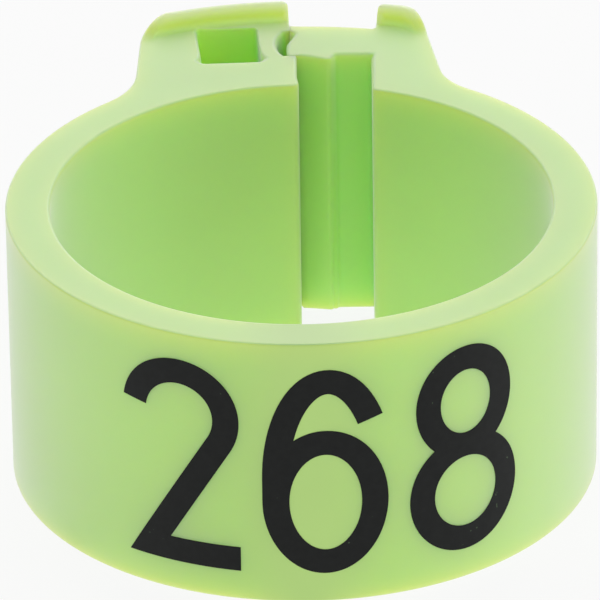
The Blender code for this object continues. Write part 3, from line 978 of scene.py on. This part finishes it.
def ramp_node(tree, factor, stops):
    """A colour ramp: stops are (position, colour)."""
    node = tree.nodes.new("ShaderNodeValToRGB")
    ramp = node.color_ramp
    while len(ramp.elements) < len(stops):
        ramp.elements.new(0.5)
    for element, (position, colour) in zip(ramp.elements, stops):
        element.position = position
        element.color = (*colour, 1.0)
    tree.links.new(factor, node.inputs["Fac"])
    return node.outputs["Color"]


def range_node(tree, value, low, high):
    node = tree.nodes.new("ShaderNodeMapRange")
    node.inputs["To Min"].default_value = low
    node.inputs["To Max"].default_value = high
    tree.links.new(value, node.inputs["Value"])
    return node.outputs["Result"]


def bump_node(tree, height, strength):
    node = tree.nodes.new("ShaderNodeBump")
    node.inputs["Strength"].default_value = strength
    node.inputs["Distance"].default_value = BUMP_HEIGHT
    tree.links.new(height, node.inputs["Height"])
    return node.outputs["Normal"]


def tinted(colour, factor):
    return tuple(min(1.0, channel * factor) for channel in colour)


def mix_node(tree, share, colour, other):
    """A colour that turns into the other, constant, colour as share rises."""
    node = tree.nodes.new("ShaderNodeMix")
    node.data_type = "RGBA"
    factor, first, second = (
        next(i for i in node.inputs if i.identifier == name)
        for name in ("Factor_Float", "A_Color", "B_Color")
    )
    tree.links.new(share, factor)
    tree.links.new(colour, first)
    second.default_value = (*other, 1.0)
    return next(o for o in node.outputs if o.identifier == "Result_Color")


def attribute_node(tree, name):
    node = tree.nodes.new("ShaderNodeAttribute")
    node.attribute_name = name
    return node.outputs["Fac"]


def green_plastic():
    """Satin, slightly translucent moulded plastic, with painted light from the mesh's own
    attributes: painted lime glowing under the upper edges, a painted highlight on rims and ridges
    and painted bounce light in the recesses.
    """
    material, tree, shader = new_material("pale_green_plastic")
    place = tree.nodes.new("ShaderNodeTexCoord").outputs["Object"]
    clouds = noise_node(tree, place, CLOUDS)
    tones = [(position, tinted(GREEN, factor)) for position, factor in PLASTIC_TONES]
    colour = ramp_node(tree, clouds, tones)
    # Painted light mixed into the colour: lime glowing under the edges, then the highlight, then
    # the bounce light
    painted_glow = range_node(tree, attribute_node(tree, "painted_glow"), 0.0, PAINTED_GLOW_SHARE)
    colour = mix_node(tree, painted_glow, colour, PAINTED_GLOW_LIME)
    colour = mix_node(tree, attribute_node(tree, "painted_highlight"), colour, PAINTED_HIGHLIGHT_PALE)
    colour = mix_node(tree, attribute_node(tree, "painted_bounce"), colour, PAINTED_BOUNCE_GREEN)
    tree.links.new(colour, shader.inputs["Base Color"])
    skin = noise_node(tree, place, PLASTIC_SKIN)
    rough = range_node(tree, noise_node(tree, place, PLASTIC_GRAIN), *PLASTIC_ROUGHNESS)
    tree.links.new(rough, shader.inputs["Roughness"])
    tree.links.new(bump_node(tree, skin, PLASTIC_BUMP), shader.inputs["Normal"])
    shader.inputs["IOR"].default_value = PLASTIC_IOR
    shader.subsurface_method = "RANDOM_WALK"
    depth = range_node(tree, attribute_node(tree, "away_from_seam"), 0.0, TRANSLUCENCY)
    depth.node.interpolation_type = "SMOOTHSTEP"
    tree.links.new(depth, shader.inputs["Subsurface Weight"])
    shader.inputs["Subsurface Radius"].default_value = SCATTER_RADII
    shader.inputs["Subsurface Scale"].default_value = SCATTER_SCALE
    shader.inputs["Sheen Weight"].default_value = SHEEN
    shader.inputs["Sheen Roughness"].default_value = SHEEN_ROUGHNESS
    return material


def black_ink():
    """Printed ink: dense, a little uneven, with a few pinholes."""
    material, tree, shader = new_material("black_print_ink")
    place = tree.nodes.new("ShaderNodeTexCoord").outputs["Object"]
    grain = noise_node(tree, place, INK_GRAIN)
    tones = [(position, tinted(INK, factor)) for position, factor in INK_TONES]
    tones += [(INK_EDGE, INK), (PINHOLE_EDGE, PINHOLE)]
    colour = ramp_node(tree, grain, tones)
    tree.links.new(colour, shader.inputs["Base Color"])
    rough = range_node(tree, noise_node(tree, place, INK_WEAR), *INK_ROUGHNESS)
    tree.links.new(rough, shader.inputs["Roughness"])
    tree.links.new(bump_node(tree, grain, INK_BUMP), shader.inputs["Normal"])
    shader.inputs["Specular IOR Level"].default_value = INK_SPECULAR
    return material


def pale_floor():
    """An almost white floor that glows a little, so that it stays even."""
    material, tree, shader = new_material("pale_sweep")
    place = tree.nodes.new("ShaderNodeTexCoord").outputs["Object"]
    tones = [(position, (grey, grey, grey)) for position, grey in FLOOR_TONES]
    colour = ramp_node(tree, noise_node(tree, place, FLOOR_TONE), tones)
    tree.links.new(colour, shader.inputs["Base Color"])
    shader.inputs["Emission Color"].default_value = WHITE
    shader.inputs["Emission Strength"].default_value = FLOOR_GLOW
    shader.inputs["Roughness"].default_value = FLOOR_ROUGHNESS
    shader.inputs["Specular IOR Level"].default_value = FLOOR_SPECULAR
    return material


# ---------------------------------------------------------------- scene

# The photograph's camera: angles in degrees, distances in metres, its lens and sensor in
# millimetres, and the point it is aimed at in millimetres in the ring's frame
CAMERA_ELEVATION = 28.65
CAMERA_ROLL = -0.81
CAMERA_DISTANCE = 0.2
CAMERA_LENS = 667.7
CAMERA_SENSOR = 36.0
CAMERA_CLIP = (0.01, 20.0)
CAMERA_AIM = (-0.048, 0.0, 3.20)

# Soft rectangular lights, all aimed at the band: where they are, their sizes and their radiance
PANELS = {
    "back_panel": ((0.0, 0.34, 0.21), (0.42, 0.26), 2.25),
    "front_high": ((0.0, -0.25, 0.32), (0.36, 0.20), 1.3),
    "left_panel": ((-0.38, 0.0, 0.14), (0.30, 0.24), 0.5),
    "right_panel": ((0.38, 0.0, 0.14), (0.30, 0.24), 1.75),
}
PANEL_AIM = (0.0, 0.0, 0.002)
SKY_STRENGTH = 0.33
FLOOR_SIZE = 4.0


def add_camera():
    camera = bpy.data.cameras.new("photo_camera")
    camera.sensor_width = CAMERA_SENSOR
    camera.lens = CAMERA_LENS
    camera.clip_start, camera.clip_end = CAMERA_CLIP
    holder = bpy.data.objects.new("photo_camera", camera)
    bpy.context.scene.collection.objects.link(holder)
    aim = Vector(CAMERA_AIM) * MM + AXIS
    turn = Matrix.Rotation(math.radians(90.0 - CAMERA_ELEVATION), 4, "X")
    roll = Matrix.Rotation(math.radians(CAMERA_ROLL), 4, "Z")
    back = Matrix.Translation((0.0, 0.0, CAMERA_DISTANCE))
    holder.matrix_world = Matrix.Translation(aim) @ turn @ back @ roll
    bpy.context.scene.camera = holder


def add_panel(name, place, size, radiance):
    """A soft light that faces the band, with the same radiance whatever its size."""
    light = bpy.data.lights.new(name, "AREA")
    light.shape = "RECTANGLE"
    light.size, light.size_y = size
    light.energy = radiance * math.pi * size[0] * size[1]
    holder = bpy.data.objects.new(name, light)
    bpy.context.scene.collection.objects.link(holder)
    holder.location = place
    direction = Vector(PANEL_AIM) - Vector(place)
    holder.rotation_euler = direction.to_track_quat("-Z", "Y").to_euler()


def add_studio():
    world = bpy.data.worlds.new("studio")
    world.use_nodes = True
    sky = world.node_tree.nodes["Background"]
    sky.inputs["Color"].default_value = WHITE
    sky.inputs["Strength"].default_value = SKY_STRENGTH
    bpy.context.scene.world = world
    for name, (place, size, radiance) in PANELS.items():
        add_panel(name, place, size, radiance)
    bpy.ops.mesh.primitive_plane_add(size=FLOOR_SIZE)
    floor = bpy.context.object
    floor.name = "pale_sweep"
    floor.data.materials.append(pale_floor())
    bpy.context.scene.view_settings.view_transform = "Standard"


# ---------------------------------------------------------------- pieces

plastic = green_plastic()
ink = black_ink()

catch_half = moulded_half(
    "catch_half_moulding",
    catch_outline(),
    [window_outline()],
    catch_ridge,
    ridge_rows(REAR, CATCH_TURN, CATCH_CORNER_CENTRE, LEFT),
)
catch_nodes = ["front_band", "catch_side_flexure"]
catch_nodes += ["catch_arm", "catch_block", "catch_web", "catch_grip_ridge"]
tongue_half = moulded_half(
    "tongue_half_moulding",
    tongue_outline(),
    [],
    tongue_ridge,
    ridge_rows(LOBE_ANGLE + ROW_OVERRUN, TONGUE_TURN, TONGUE_CORNER_CENTRE, RIGHT),
)
tongue_nodes = ["tongue_side_flexure", "tongue_arm", "tongue_block"]
tongue_nodes += ["tongue_grip_ridge", "tongue_strap", "latch_tooth"]

for half, side, nodes in (
    (catch_half, "catch_side", catch_nodes),
    (tongue_half, "tongue_side", tongue_nodes),
):
    half.data.materials.append(plastic)
    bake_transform(half)
    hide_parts(*nodes)

# The outer digits reach the stretches at the sides and are baked in place; the middle one is
# attached to the printed front
for name, node, strokes, pitches, side in (
    ("print_two", "number_first_digit", digit_two(), -1, "catch_side"),
    ("print_six", "number_middle_digit", digit_six(), 0, None),
    ("print_eight", "number_last_digit", digit_eight(), 1, "tongue_side"),
):
    digit = printed(name, strokes, PRINT_CENTRE + pitches * DIGIT_PITCH)
    digit.data.materials.append(ink)
    if side:
        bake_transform(digit)
    else:
        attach(digit, "printed_front")
    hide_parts(node)

add_camera()
add_studio()
